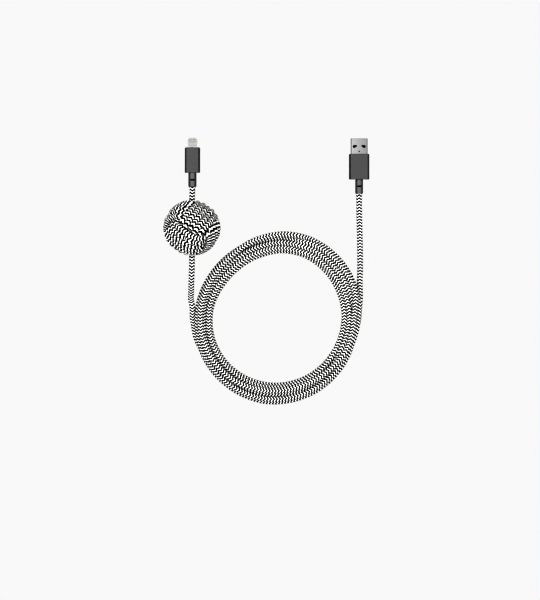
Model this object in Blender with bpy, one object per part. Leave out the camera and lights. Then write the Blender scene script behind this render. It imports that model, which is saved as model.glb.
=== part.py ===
"""A braided charging cable: a Type-A plug, an 8-contact tab plug, a coiled cord between
them, and a weighted ball knot that slides on the cord.

Metres, +Z up. The origin is on the surface that the cable lies on, under the middle of
the box round the two plugs and the knot. +Y is the way both plugs point.
"""

import math

import bmesh
import bpy
import numpy as np

MM = 0.001
GAP = 0.3 * MM  # between pieces that touch
FIT = 0.06 * MM  # round the contacts, which are too fine for the wider gap

# Cord
CORD_DIAMETER = 4.0 * MM
JACKET_DIAMETER = 3.0 * MM  # the inner jacket, where the braid is cut back
WIRE_DIAMETER = 0.7 * MM
CORD_STEP = 2 * CORD_DIAMETER  # between the points of a lead

# Coil of the stowed cord
COIL_CENTRE = (6.6 * MM, -86.4 * MM)
COIL_INNER_RADIUS = 46.7 * MM
# The turns that show at the outside of the pile, in order round it: each one's place
# from the inside, in turns, and its row from the surface
COIL_PILE = ((3, 0), (2.5, 1), (1.5, 1), (1, 2), (0.5, 1), (0, 0), (1, 0), (2, 0))
COIL_FACET = 45  # degrees of a turn's outline in one facet
COIL_SEGMENTS = 34

# Ball knot
KNOT_CENTRE = (-53.2 * MM, -23.0 * MM)
KNOT_PASSES = 5  # turns of cord in each of the three bundles
KNOT_PITCH = 3.95 * MM
KNOT_LAY = 3.95 * MM  # distance at which two passes of the knot touch
KNOT_CORD = 3.3 * MM  # thickness of a pass, with its gap taken off
KNOT_SURFACE = 15.9 * MM  # from the middle to the outer layer's centre line
KNOT_TURN = math.radians(29.4)  # turn of the weave about the cord
WEIGHT_RADIUS = 8.1 * MM
KNOT_BORE_ROOM = 0.2 * MM  # between the cord and the passes that lie along it
KNOT_SIDES = 7
KNOT_RINGS = 36

# Tab plug, which goes into the phone
TAB_WIDTH = 6.7 * MM
TAB_THICKNESS = 1.5 * MM
TAB_LENGTH = 7.2 * MM  # that stands out of the housing
TAB_NOSE = 1.9 * MM  # radius of its front corners
TAB_NOTCH = 0.45 * MM  # radius of the notch in each side, which the phone's springs hold
TAB_NOTCH_BACK = 4.3 * MM  # from the tip to the notches
TAB_NECK = 0.25 * MM  # how much narrower each side is behind its notch
TAB_CONTACTS = 8
TAB_CONTACT_PITCH = 0.66 * MM
TAB_CONTACT_SIZE = (0.40 * MM, 1.6 * MM)
TAB_CONTACT_SINK = 0.04 * MM  # how far the contacts lie below the tab's faces
TAB_CARRIER_SINK = 0.08 * MM  # and the plastic round them
TAB_WINDOW_BACK = 1.0 * MM  # from the tip to the contacts' window
TAB_WINDOW_RIM = (0.15 * MM, 0.25 * MM)  # plastic beside and before the contacts
TAB_ROOT = 4.2 * MM  # how deep the tab reaches into the housing
TAB_HOUSING = (10.4 * MM, 17.7 * MM, 6.4 * MM)
TAB_RELIEF = (5.6 * MM, 10.2 * MM)
TAB_PLUG_X = -52.9 * MM
TAB_PLUG_DROOP = math.radians(5.0)  # its slope, as the stiff cord holds it out from the knot
BEND_START_Y = -2.3 * MM  # where the cord starts to bend down, past the knot
BEND_RADIUS = 60.0 * MM
BEND_TO_RELIEF = 3.0 * MM
BOARD_THICKNESS = 0.8 * MM
BOARD_ROOM = 0.4 * MM  # between the board's edges and the can
CHIP_SIZE = (3.0 * MM, 3.2 * MM, 0.7 * MM)
CAN_SHEET = 0.25 * MM
CAN_ROUND = 0.5 * MM
CAN_PAST_BOARD = 0.4 * MM
TAB_WIRE_LENGTH = 3.2 * MM  # from the jacket's end to the board
TAB_WIRE_INSET = 0.8 * MM  # from the board's side edges to the outer wires

# Type-A plug, which goes into the charger
SHELL_WIDTH = 12.0 * MM
SHELL_THICKNESS = 4.5 * MM
SHELL_LENGTH = 11.1 * MM  # that stands out of the housing
SHELL_HIDDEN = 7.6 * MM  # that the housing holds
SHELL_SHEET = 0.3 * MM
SHELL_ROUND = 0.7 * MM
SHELL_LIP = (0.12 * MM, 0.4 * MM)  # how far its front edge is turned in, over what length
WINDOW_BACK = 5.1 * MM  # from the tip to the two windows
WINDOW_REACH = (2.1 * MM, 3.7 * MM)  # from the shell's middle to a window's two ends
WINDOW_HALF = 0.62 * MM  # half of a window's width
WINDOW_DROOP = 1.1 * MM  # how far its outer end bends back
DIMPLE_BACK = 9.0 * MM
DIMPLE_RADIUS = 0.5 * MM
DIMPLE_DEPTH = 0.18 * MM
TONGUE_THICKNESS = 1.84 * MM
TONGUE_SETBACK = 0.5 * MM  # behind the shell's front edge
TONGUE_PAST_SHELL = 0.6 * MM  # behind the shell's back edge
A_CONTACT_SIZE = (1.0 * MM, 0.3 * MM)  # width and thickness
A_CONTACTS = ((-3.5 * MM, 1.0 * MM), (-1.0 * MM, 2.0 * MM), (1.0 * MM, 2.0 * MM),
              (3.5 * MM, 1.0 * MM))  # place across the tongue, and how far from its front
A_CONTACT_EDGE = 0.08 * MM
A_CONTACT_REAR = 0.3 * MM  # from the tongue's back end
A_STOP_BACK = 1.2 * MM  # from the housing's front face back to the stop block
A_HOUSING = (14.3 * MM, 18.0 * MM, 7.6 * MM)
A_RELIEF = (5.4 * MM, 10.3 * MM)
A_PLUG_X = 65.6 * MM
A_PLUG_Y = 12.0 * MM  # its housing's back face

# Both plugs
HOUSING_WALL = 1.2 * MM
HOUSING_ROUND = 1.4 * MM  # along the housing's long edges
HOUSING_EDGE = 0.45 * MM  # round its two ends
HOUSING_CORNER = 0.4 * MM  # inside its cavity
RELIEF_MOUTH = 2.0 * MM  # how far the braid goes into the strain relief
RELIEF_NECK_WALL = 0.45 * MM  # where it goes through the housing's back wall
RELIEF_LIP = 0.18 * MM  # its wall at the cord's end
RELIEF_TAPER = 1.1 * MM  # over which it narrows to the lip
RELIEF_SLOT = (2.9 * MM, 0.9 * MM, 0.65 * MM)  # across, along and deep
RELIEF_SLOT_PLACE = 5.0 * MM  # from its end to the slot's middle
CRIMP_LENGTH = 3.0 * MM
CRIMP_WALL = 0.5 * MM
JACKET_PAST_CRIMP = 0.5 * MM
WIRE_RING = 0.62 * MM  # from the jacket's middle to each wire
WIRE_STEP = 1.3 * MM

# The cord's run from the tab plug through the knot to the coil, and from the coil to
# the Type-A plug
KNOT_LEAD = [
    (-52.9, 7.9, 18.2),
    (-52.9, 5.9, 18.4),
    (-52.9, 2.9, 18.7),
    (-53.0, 0.3, 18.8),
    (-53.1, -2.3, 18.9),
    (-53.2, -8.4, 18.9),
    (-53.2, -23.0, 18.9),
    (-53.2, -36.4, 18.9),
    (-53.2, -46.4, 18.9),
    (-53.3, -51.4, 18.8),
    (-53.5, -57.4, 17.7),
    (-53.8, -63.4, 14.9),
    (-54.0, -68.4, 11.5),
    (-54.3, -73.6, 8.0),
]
CHARGER_LEAD = [
    (65.6, 3.5, 3.8),
    (65.6, -1.4, 3.8),
    (65.6, -8.4, 3.1),
    (65.7, -15.4, 2.2),
    (65.8, -22.4, 2.1),
    (65.9, -36.4, 2.1),
    (66.1, -50.4, 2.1),
    (66.3, -60.4, 2.1),
]


# ---- materials ----

def make_material(name, colour, roughness, metallic=0.0):
    material = bpy.data.materials.new(name)
    material.use_nodes = True
    shader = material.node_tree.nodes["Principled BSDF"]
    shader.inputs["Base Color"].default_value = (*colour, 1.0)
    shader.inputs["Roughness"].default_value = roughness
    shader.inputs["Metallic"].default_value = metallic
    return material


# ---- making objects ----

def new_object(name, mesh, material, parent=None):
    obj = bpy.data.objects.new(name, mesh)
    bpy.context.scene.collection.objects.link(obj)
    mesh.materials.append(material)
    obj.parent = parent
    return obj


def mesh_from(name, points, faces):
    mesh = bpy.data.meshes.new(name)
    mesh.from_pydata([tuple(map(float, p)) for p in points], [], faces)
    mesh.shade_smooth()
    mesh.set_sharp_from_angle(angle=math.radians(40))
    return mesh


def skin_rings(rings, closed=False):
    """Points and faces of a skin over rings of equal length. An open stack is capped at
    both ends, and a closed one joins its last ring to its first."""
    count = len(rings[0])
    points = [p for ring in rings for p in ring]
    faces = []
    for i in range(len(rings) - (0 if closed else 1)):
        a, b = i * count, ((i + 1) % len(rings)) * count
        for k in range(count):
            n = (k + 1) % count
            faces.append((a + k, a + n, b + n, b + k))
    if not closed:
        faces.append(tuple(reversed(range(count))))
        faces.append(tuple(range(len(points) - count, len(points))))
    return points, faces


def facing_out(mesh):
    """Merge the doubled points of a closed mesh and turn its faces outwards."""
    work = bmesh.new()
    work.from_mesh(mesh)
    bmesh.ops.remove_doubles(work, verts=work.verts, dist=1e-7)
    bmesh.ops.recalc_face_normals(work, faces=work.faces)
    if work.calc_volume(signed=True) < 0:
        bmesh.ops.reverse_faces(work, faces=work.faces)
    work.to_mesh(mesh)
    work.free()
    return mesh


def rounded_ring(width, height, radius, y, steps=4):
    """A rectangle with round corners in the XZ plane. With radius equal to half of both
    sides it is a circle, point for point against any other such ring."""
    radius = min(radius, width / 2, height / 2)
    ring = []
    for corner, (sx, sz) in enumerate(((1, 1), (-1, 1), (-1, -1), (1, -1))):
        cx, cz = sx * (width / 2 - radius), sz * (height / 2 - radius)
        for k in range(steps + 1):
            angle = (corner + k / steps) * math.pi / 2
            ring.append((cx + radius * math.cos(angle), y, cz + radius * math.sin(angle)))
    return ring


def circle_ring(radius, y, steps=4):
    return rounded_ring(2 * radius, 2 * radius, radius, y, steps=steps)


def box(name, size, centre, material, parent, bevel=0.0):
    """A block with its size and centre in the parent's axes, and bevelled edges."""
    work = bmesh.new()
    bmesh.ops.create_cube(work, size=1.0)
    bmesh.ops.scale(work, vec=size, verts=work.verts)
    bmesh.ops.translate(work, vec=centre, verts=work.verts)
    if bevel:
        bmesh.ops.bevel(work, geom=work.edges, offset=bevel, segments=1, affect="EDGES")
    mesh = bpy.data.meshes.new(name)
    work.to_mesh(mesh)
    work.free()
    return new_object(name, mesh, material, parent)


def prism(name, outline, low, high, material, parent):
    """An outline in the XY plane carried from one height to another."""
    rings = [[(x, y, z) for x, y in outline] for z in (low, high)]
    return new_object(name, facing_out(mesh_from(name, *skin_rings(rings))), material, parent)


def cut_with(obj, cutter):
    """Take the cutter away from the object."""
    cutter.hide_render = True
    cutter.display_type = "WIRE"
    modifier = obj.modifiers.new("Cut " + cutter.name, "BOOLEAN")
    modifier.operation = "DIFFERENCE"
    modifier.object = cutter


def plug_frame(name, location, tilt=0.0):
    """The empty that carries a plug: its origin is the middle of the housing's back
    face, and its +Y points along the plug to its tip."""
    empty = bpy.data.objects.new(name, None)
    bpy.context.scene.collection.objects.link(empty)
    empty.location = location
    empty.rotation_euler = (-tilt, 0.0, 0.0)
    return empty


def smooth_route(points, step):
    """Points about one step apart along a Catmull-Rom curve through the given ones."""
    given = np.array(points, float)
    given = np.vstack([2 * given[0] - given[1], given, 2 * given[-1] - given[-2]])
    fine = []
    for a, b, c, d in zip(given[:-3], given[1:-2], given[2:-1], given[3:]):
        for t in np.linspace(0.0, 1.0, 24, endpoint=False):
            fine.append(0.5 * (2 * b + (c - a) * t + (2 * a - 5 * b + 4 * c - d) * t**2
                               + (3 * b - a - 3 * c + d) * t**3))
    fine = np.array(fine + [given[-2]])
    run = np.concatenate([[0.0], np.cumsum(np.linalg.norm(np.diff(fine, axis=0), axis=1))])
    places = np.linspace(0.0, run[-1], max(2, round(run[-1] / step) + 1))
    return np.stack([np.interp(places, run, fine[:, axis]) for axis in range(3)], axis=1)


def cord_curve(name, points, diameter, material, parent=None, resolution=2):
    """A round cord through the points, as a poly curve with filled caps."""
    curve = bpy.data.curves.new(name, "CURVE")
    curve.dimensions = "3D"
    curve.bevel_depth = diameter / 2
    curve.bevel_resolution = resolution
    curve.use_fill_caps = True
    curve.materials.append(material)
    spline = curve.splines.new("POLY")
    spline.points.add(len(points) - 1)
    for point, place in zip(spline.points, points):
        point.co = (*map(float, place), 1.0)
    obj = bpy.data.objects.new(name, curve)
    bpy.context.scene.collection.objects.link(obj)
    obj.parent = parent
    return obj


# ---- pieces that both plugs have ----

def make_housing(name, size, mouth, material, parent):
    """A moulded housing, hollow and open at both ends. Its skin runs over the outside
    from front to back, in through the round hole in the back wall, along the cavity and
    out through the mouth in the front wall."""
    width, length, height = size
    mouth_width, mouth_height, mouth_round, front_wall = mouth
    hole = neck_radius() + GAP

    def outer(inset, y):
        return rounded_ring(width - 2 * inset, height - 2 * inset, HOUSING_ROUND, y)

    cavity_width = max(width - 2 * HOUSING_WALL, mouth_width)
    cavity_height = max(height - 2 * HOUSING_WALL, mouth_height)

    def cavity(y):
        return rounded_ring(cavity_width, cavity_height, HOUSING_CORNER, y)

    def opening(y):
        return rounded_ring(mouth_width, mouth_height, mouth_round, y)

    slope = HOUSING_EDGE * (1 - math.sqrt(0.5))
    rings = [
        outer(HOUSING_EDGE, length),
        outer(slope, length - slope),
        outer(0.0, length - HOUSING_EDGE),
        outer(0.0, HOUSING_EDGE),
        outer(slope, slope),
        outer(HOUSING_EDGE, 0.0),
        circle_ring(hole, 0.0),
        circle_ring(hole, HOUSING_WALL),
        cavity(HOUSING_WALL),
    ]
    if front_wall:
        rings += [cavity(length - front_wall), opening(length - front_wall)]
    rings.append(opening(length))
    mesh = facing_out(mesh_from(name, *skin_rings(rings, closed=True)))
    return new_object(name, mesh, material, parent)


def neck_radius():
    return JACKET_DIAMETER / 2 + GAP + RELIEF_NECK_WALL


def make_strain_relief(name, size, material, parent):
    """A sleeve on the cord's end with a neck that goes through the housing's back wall
    and a slot above and below that lets it flex."""
    diameter, length = size
    outer = diameter / 2
    mouth = CORD_DIAMETER / 2 + GAP
    bore = JACKET_DIAMETER / 2 + GAP
    back = -GAP
    end = -length
    tip = mouth + RELIEF_LIP
    shoulder = tip + 0.7 * (outer - tip)  # the narrowing is round, not straight
    rings = [
        circle_ring(neck_radius(), HOUSING_WALL),
        circle_ring(neck_radius(), back),
        circle_ring(outer, back),
        circle_ring(outer, end + RELIEF_TAPER),
        circle_ring(shoulder, end + 0.35 * RELIEF_TAPER),
        circle_ring(tip, end),
        circle_ring(mouth, end),
        circle_ring(mouth, end + RELIEF_MOUTH),
        circle_ring(bore, end + RELIEF_MOUTH),
        circle_ring(bore, HOUSING_WALL),
    ]
    sleeve = new_object(name, facing_out(mesh_from(name, *skin_rings(rings, closed=True))),
                        material, parent)
    slot_width, slot_length, slot_depth = RELIEF_SLOT
    for side, height in (("top", 1), ("bottom", -1)):
        cutter = box(f"{name}_slot_{side}", (slot_width, slot_length, 2 * slot_depth),
                     (0.0, end + RELIEF_SLOT_PLACE, height * outer), material, parent)
        cut_with(sleeve, cutter)
    return sleeve


def make_cord_end(prefix, relief, rubber, brass, parent):
    """The bare inner jacket, from the braid's end into the housing, and the crimp ring
    that holds it there. Returns how far into the housing the jacket reaches."""
    start = -relief[1] + RELIEF_MOUTH + GAP
    crimp_start = HOUSING_WALL + GAP
    reach = crimp_start + CRIMP_LENGTH + JACKET_PAST_CRIMP
    cord_curve(f"{prefix}_jacket_end", [(0, start, 0), (0, start / 2, 0), (0, reach, 0)],
               JACKET_DIAMETER, rubber, parent)
    inner = JACKET_DIAMETER / 2 + FIT
    rings = [circle_ring(r, y, steps=3) for r, y in (
        (inner, crimp_start), (inner, crimp_start + CRIMP_LENGTH),
        (inner + CRIMP_WALL, crimp_start + CRIMP_LENGTH), (inner + CRIMP_WALL, crimp_start))]
    new_object(f"{prefix}_crimp_ring",
               facing_out(mesh_from("crimp_ring", *skin_rings(rings, closed=True))),
               brass, parent)
    return reach


def make_wires(prefix, colours, start_y, places, end_y, end_z, parent):
    """Four insulated wires that fan out from the jacket's end to places from left to
    right. As they lie round the cord, the outer two leave from above."""
    right_first = (places[3], places[0], places[1], places[2])
    for k, ((name, material), place) in enumerate(zip(colours.items(), right_first)):
        angle = (k + 0.5) * math.pi / 2
        x, z = WIRE_RING * math.cos(angle), WIRE_RING * math.sin(angle)
        straight = 0.35 * (end_y - start_y - GAP)
        route = [(x, start_y + GAP, z), (x, start_y + GAP + straight, z),
                 (place, end_y - straight, end_z), (place, end_y, end_z)]
        cord_curve(f"{prefix}_wire_{name}", smooth_route(route, WIRE_STEP), WIRE_DIAMETER,
                   material, parent, resolution=0)


# ---- tab plug ----

def tab_outline(back, front):
    """Outline of the tab: a nose with large round corners, straight sides with a round
    notch each, and a narrower neck down to the root inside the housing."""
    half = TAB_WIDTH / 2
    notch_y = front - TAB_NOTCH_BACK
    right = [(half - TAB_NECK, back), (half - TAB_NECK, notch_y - TAB_NOTCH)]
    for k in range(1, 5):
        angle = -math.pi / 2 - k * math.pi / 4
        right.append((half + 0.8 * TAB_NOTCH * math.cos(angle),
                      notch_y + TAB_NOTCH * math.sin(angle)))
    for k in range(6):
        angle = k / 5 * math.pi / 2
        right.append((half - TAB_NOSE + TAB_NOSE * math.cos(angle),
                      front - TAB_NOSE + TAB_NOSE * math.sin(angle)))
    return right + [(-x, y) for x, y in reversed(right)]


def make_tab_plug(mat, frame):
    width, length, height = TAB_HOUSING
    front = length + TAB_LENGTH
    mouth = (TAB_WIDTH + 2 * FIT, TAB_THICKNESS + 2 * FIT, FIT, HOUSING_WALL)
    make_housing("tab_plug_housing", TAB_HOUSING, mouth, mat["housing"], frame)
    make_strain_relief("tab_plug_strain_relief", TAB_RELIEF, mat["relief"], frame)
    reach = make_cord_end("tab_plug", TAB_RELIEF, mat["rubber"], mat["brass"], frame)

    # The metal tab with a window for the contact carrier
    root = length - TAB_ROOT
    tab = prism("tab_shell", tab_outline(root, front), -TAB_THICKNESS / 2,
                TAB_THICKNESS / 2, mat["steel"], frame)
    contact_width, contact_length = TAB_CONTACT_SIZE
    window_width = (TAB_CONTACTS - 1) * TAB_CONTACT_PITCH + contact_width + 2 * TAB_WINDOW_RIM[0]
    window_length = contact_length + 2 * TAB_WINDOW_RIM[1]
    window_y = front - TAB_WINDOW_BACK - window_length / 2
    window = box("tab_window", (window_width, window_length, 3 * TAB_THICKNESS),
                 (0, window_y, 0), mat["steel"], frame)
    cut_with(tab, window)

    # The carrier fills the window, and each contact goes through it
    carrier = box("contact_carrier",
                  (window_width - 2 * FIT, window_length - 2 * FIT,
                   TAB_THICKNESS - 2 * TAB_CARRIER_SINK),
                  (0, window_y, 0), mat["black"], frame)
    slot = bpy.data.meshes.new("contact_slots")
    work = bmesh.new()
    for k in range(TAB_CONTACTS):
        x = (k - (TAB_CONTACTS - 1) / 2) * TAB_CONTACT_PITCH
        size = (contact_width + 2 * FIT, contact_length + 2 * FIT, 3 * TAB_THICKNESS)
        made = bmesh.ops.create_cube(work, size=1.0)["verts"]
        bmesh.ops.scale(work, vec=size, verts=made)
        bmesh.ops.translate(work, vec=(x, window_y, 0), verts=made)
        box(f"tab_contact_{k + 1}",
            (contact_width, contact_length, TAB_THICKNESS - 2 * TAB_CONTACT_SINK),
            (x, window_y, 0), mat["gold"], frame)
    work.to_mesh(slot)
    work.free()
    cut_with(carrier, new_object("contact_slots", slot, mat["black"], frame))

    # Inside the housing: the board with its chip, in a can of thin sheet
    can_width = width - 2 * HOUSING_WALL - 2 * GAP
    can_height = height - 2 * HOUSING_WALL - 2 * GAP
    board_front = root - GAP
    board_back = reach + TAB_WIRE_LENGTH
    board_width = can_width - 2 * CAN_SHEET - 2 * BOARD_ROOM
    board_y = (board_front + board_back) / 2
    box("circuit_board", (board_width, board_front - board_back, BOARD_THICKNESS),
        (0, board_y, 0), mat["board"], frame)
    box("charge_chip", CHIP_SIZE,
        (0, board_y, (BOARD_THICKNESS + CHIP_SIZE[2]) / 2 + FIT), mat["black"], frame)
    can_back, can_front = board_back - CAN_PAST_BOARD, length - HOUSING_WALL - GAP
    rings = [rounded_ring(can_width - 2 * inset, can_height - 2 * inset, CAN_ROUND, y, steps=2)
             for inset, y in ((0, can_front), (0, can_back), (CAN_SHEET, can_back),
                              (CAN_SHEET, can_front))]
    new_object("shield_can", facing_out(mesh_from("shield_can", *skin_rings(rings, closed=True))),
               mat["steel"], frame)
    outer_wire = board_width / 2 - TAB_WIRE_INSET
    make_wires("tab_plug", mat["wires"], reach, np.linspace(-outer_wire, outer_wire, 4),
               board_back - GAP, 0.0, frame)


# ---- Type-A plug ----

def bean_outline(side):
    """A window of the shell: a slot with round ends that droops towards its outer end."""
    inner, outer = WINDOW_REACH
    steps = 8
    spine = [(inner + (outer - inner) * k / steps, -WINDOW_DROOP * (k / steps) ** 2.2)
             for k in range(steps + 1)]
    upper, lower = [], []
    for k, (x, y) in enumerate(spine):
        before, after = spine[max(k - 1, 0)], spine[min(k + 1, steps)]
        angle = math.atan2(after[1] - before[1], after[0] - before[0])
        reach = WINDOW_HALF * math.sqrt(max(1 - (2 * k / steps - 1) ** 8, 0.12))
        across, along = -reach * math.sin(angle), reach * math.cos(angle)
        upper.append((x + across, y + along))
        lower.append((x - across, y - along))
    outline = upper + lower[::-1]
    return [(side * x, y) for x, y in (outline if side > 0 else outline[::-1])]


def make_type_a_plug(mat, frame):
    width, length, height = A_HOUSING
    tip = length + SHELL_LENGTH
    mouth = (SHELL_WIDTH + 2 * FIT, SHELL_THICKNESS + 2 * FIT, SHELL_ROUND + FIT, 0.0)
    make_housing("type_a_housing", A_HOUSING, mouth, mat["housing"], frame)
    make_strain_relief("type_a_strain_relief", A_RELIEF, mat["relief"], frame)
    reach = make_cord_end("type_a", A_RELIEF, mat["rubber"], mat["brass"], frame)

    # The folded steel shell, open at both ends, with two windows above and two below
    back = length - SHELL_HIDDEN
    lip, lip_length = SHELL_LIP
    rings = []
    for inset, y in ((lip, tip), (0.0, tip - lip_length), (0.0, back), (SHELL_SHEET, back),
                     (SHELL_SHEET, tip - lip_length), (SHELL_SHEET + lip, tip)):
        rings.append(rounded_ring(SHELL_WIDTH - 2 * inset, SHELL_THICKNESS - 2 * inset,
                                  SHELL_ROUND - inset, y, steps=3))
    shell = new_object("type_a_shell",
                       facing_out(mesh_from("type_a_shell", *skin_rings(rings, closed=True))),
                       mat["steel"], frame)
    for side, name in ((1, "type_a_window_right"), (-1, "type_a_window_left")):
        outline = [(x, y + tip - WINDOW_BACK) for x, y in bean_outline(side)]
        cut_with(shell, prism(name, outline, -SHELL_THICKNESS, SHELL_THICKNESS,
                              mat["steel"], frame))
    dimple = [(DIMPLE_RADIUS * math.cos(a), tip - DIMPLE_BACK + DIMPLE_RADIUS * math.sin(a))
              for a in np.linspace(0, 2 * math.pi, 12, endpoint=False)]
    cut_with(shell, prism("type_a_dimple", dimple, SHELL_THICKNESS / 2 - DIMPLE_DEPTH,
                          SHELL_THICKNESS, mat["steel"], frame))

    # The tongue fills the lower half, and its contacts lie in grooves on it
    inner_width = SHELL_WIDTH - 2 * SHELL_SHEET
    floor = -SHELL_THICKNESS / 2 + SHELL_SHEET
    tongue_front, tongue_back = tip - TONGUE_SETBACK, back - TONGUE_PAST_SHELL
    deck = floor + FIT + TONGUE_THICKNESS
    tongue = box("type_a_tongue",
                 (inner_width - 2 * GAP, tongue_front - tongue_back, TONGUE_THICKNESS),
                 (0, (tongue_front + tongue_back) / 2, deck - TONGUE_THICKNESS / 2),
                 mat["black"], frame)
    strip_width, strip = A_CONTACT_SIZE
    rear = tongue_back + A_CONTACT_REAR
    for k, (x, set_back) in enumerate(A_CONTACTS):
        front = tongue_front - set_back
        groove = box(f"contact_groove_{k + 1}",
                     (strip_width + 2 * FIT, front - rear + 2 * FIT, strip),
                     (x, (front + rear) / 2, deck), mat["black"], frame)
        cut_with(tongue, groove)
        box(f"type_a_contact_{k + 1}", (strip_width, front - rear, strip),
            (x, (front + rear) / 2, deck + FIT), mat["gold"], frame, bevel=A_CONTACT_EDGE)
    stop_front = length - A_STOP_BACK
    stop_low = deck + strip / 2 + 2 * FIT
    stop_high = SHELL_THICKNESS / 2 - SHELL_SHEET - FIT
    box("type_a_stop_block",
        (inner_width - 2 * GAP, stop_front - back, stop_high - stop_low),
        (0, (stop_front + back) / 2, (stop_low + stop_high) / 2), mat["black"], frame)
    make_wires("type_a", mat["wires"], reach, [x for x, _ in A_CONTACTS],
               tongue_back - GAP, deck - TONGUE_THICKNESS / 2, frame)


# ---- ball knot ----

def superellipse_loops(count, points):
    """The passes of one bundle before they settle: loops in the XY plane, spread along
    Z, that lie on the ball over +X and -X and one layer deeper over +Y and -Y."""
    turn = np.linspace(0.0, 2 * np.pi, points, endpoint=False)
    cos, sin = np.cos(turn), np.sin(turn)
    outer = KNOT_SURFACE + 0.25 * MM  # a little loose
    inner = outer - KNOT_LAY
    square = 2.0 / 3.0  # 1 would give an ellipse, and 0 a rectangle
    x = outer * np.sign(cos) * np.abs(cos) ** square
    y = inner * np.sign(sin) * np.abs(sin) ** square
    offsets = (np.arange(count) - (count - 1) / 2) * KNOT_PITCH
    return np.stack([np.stack([x, y, np.full(points, z)], axis=1) for z in offsets])


def evenly(loops, points=None):
    """The same closed loops with their points evenly spaced."""
    spaced = []
    for loop in loops:
        ring = np.vstack([loop, loop[:1]])
        run = np.concatenate([[0.0], np.cumsum(np.linalg.norm(np.diff(ring, axis=0), axis=1))])
        places = np.linspace(0.0, run[-1], points or len(loop), endpoint=False)
        spaced.append(np.stack([np.interp(places, run, ring[:, k]) for k in range(3)], axis=1))
    return np.array(spaced)


def settle_bundle(steps=120, points=KNOT_RINGS):
    """Pull one bundle of the knot tight. The other two bundles are the same one turned
    by a third about the cord, so one bundle is moved against its own copies: passes that
    touch push each other away, every pass keeps off the weight and off the cord's bore,
    the outer layer draws to the ball's surface and the inner one to the weight. A pass
    stands proud of the surface by half its lay at most, and by a quarter at the cord."""
    axis = np.ones(3) / math.sqrt(3.0)
    bore = CORD_DIAMETER / 2 + KNOT_LAY / 2 + KNOT_BORE_ROOM
    core = WEIGHT_RADIUS + KNOT_LAY / 2
    loops = evenly(superellipse_loops(KNOT_PASSES, points))
    owner = np.repeat(np.arange(KNOT_PASSES), points)
    own = owner[:, None] == np.concatenate([owner, owner + 100, owner + 200])[None]
    for step in range(steps):
        loose = 1.0 - step / steps
        middle = (np.roll(loops, 1, axis=1) + np.roll(loops, -1, axis=1)) / 2
        loops = loops + 0.15 * loose * (middle - loops)
        for _ in range(3):
            flat = loops.reshape(-1, 3)
            radius = np.linalg.norm(flat, axis=1)
            layer = np.where(radius > (KNOT_SURFACE + core) / 2, KNOT_SURFACE, core)
            flat = flat * (1 + 0.05 * loose * (layer / radius - 1))[:, None]
            every = np.concatenate([flat, flat[:, [2, 0, 1]], flat[:, [1, 2, 0]]])
            square = (flat**2).sum(1)[:, None] + (every**2).sum(1)[None] - 2 * flat @ every.T
            apart = np.sqrt(np.maximum(square, 1e-15))
            apart[own] = 1.0
            overlap = np.maximum(KNOT_LAY - apart, 0.0)
            push = 0.5 * overlap / apart
            share = np.maximum((overlap > 0).sum(1), 1) ** 0.6
            flat = flat + (flat * push.sum(1)[:, None] - push @ every) / share[:, None]
            radius = np.linalg.norm(flat, axis=1)
            reach = KNOT_SURFACE + KNOT_LAY / 2 - KNOT_LAY / 4 * (flat @ axis / radius) ** 2
            flat = flat * np.clip(1.0, core / radius, reach / radius)[:, None]
            along = (flat @ axis)[:, None] * axis
            across = flat - along
            off = np.linalg.norm(across, axis=1)
            flat = along + across * np.maximum(1.0, bore / off)[:, None]
            loops = flat.reshape(loops.shape)
            loops = (loops - np.roll(loops[::-1], points // 2, axis=1)) / 2
        loops = evenly(loops)
    return loops


def knot_axes():
    """The weave's own X, Y and Z axes in the cable's frame. The cord runs through the
    knot from corner to corner, so the three axes lean alike from +Y."""
    across, along = math.sqrt(2 / 3), math.sqrt(1 / 3)
    turns = [KNOT_TURN + k * 2 * math.pi / 3 for k in range(3)]
    return np.array([[across * math.sin(a), along, across * math.cos(a)] for a in turns])


def loop_tube(loop, radius, sides):
    """Rings of a closed tube round a loop. Each ring starts square to the middle of the
    loop, so the tube has no twist."""
    ahead = np.roll(loop, -1, axis=0) - np.roll(loop, 1, axis=0)
    ahead /= np.linalg.norm(ahead, axis=1)[:, None]
    out = loop - loop.mean(axis=0)
    side = np.cross(ahead, out)
    side /= np.linalg.norm(side, axis=1)[:, None]
    out = np.cross(side, ahead)
    rings = []
    for k in range(sides):
        angle = 2 * math.pi * k / sides
        rings.append(loop + radius * (math.cos(angle) * out + math.sin(angle) * side))
    return np.stack(rings, axis=1)


def make_knot(mat):
    """The three bundles of passes and the weight inside them. Returns the height of the
    knot's middle when it rests on the surface."""
    bundle = settle_bundle()
    axes = knot_axes()
    passes = {}
    for name, order in (("a", [0, 1, 2]), ("b", [2, 0, 1]), ("c", [1, 2, 0])):
        for k, loop in enumerate(bundle):
            passes[f"knot_pass_{name}{k + 1}"] = loop_tube(loop[:, order] @ axes,
                                                          KNOT_CORD / 2, KNOT_SIDES)
    height = -min(tube[:, :, 2].min() for tube in passes.values())
    knot = bpy.data.objects.new("knot_middle", None)
    bpy.context.scene.collection.objects.link(knot)
    knot.location = (*KNOT_CENTRE, height)
    for name, tube in passes.items():
        mesh = facing_out(mesh_from(name, *skin_rings(list(tube), closed=True)))
        new_object(name, mesh, mat["braid"], knot)

    # The steel ball, with a bore for the cord
    bore = CORD_DIAMETER / 2 + GAP
    edge = math.asin(bore / WEIGHT_RADIUS)
    arc = [edge + (math.pi - 2 * edge) * k / 8 for k in range(9)]
    rings = [circle_ring(WEIGHT_RADIUS * math.sin(a), WEIGHT_RADIUS * math.cos(a), steps=4)
             for a in arc]
    new_object("knot_weight", facing_out(mesh_from("knot_weight", *skin_rings(rings, closed=True))),
               mat["steel"], knot)
    return height


# ---- cord ----

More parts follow.
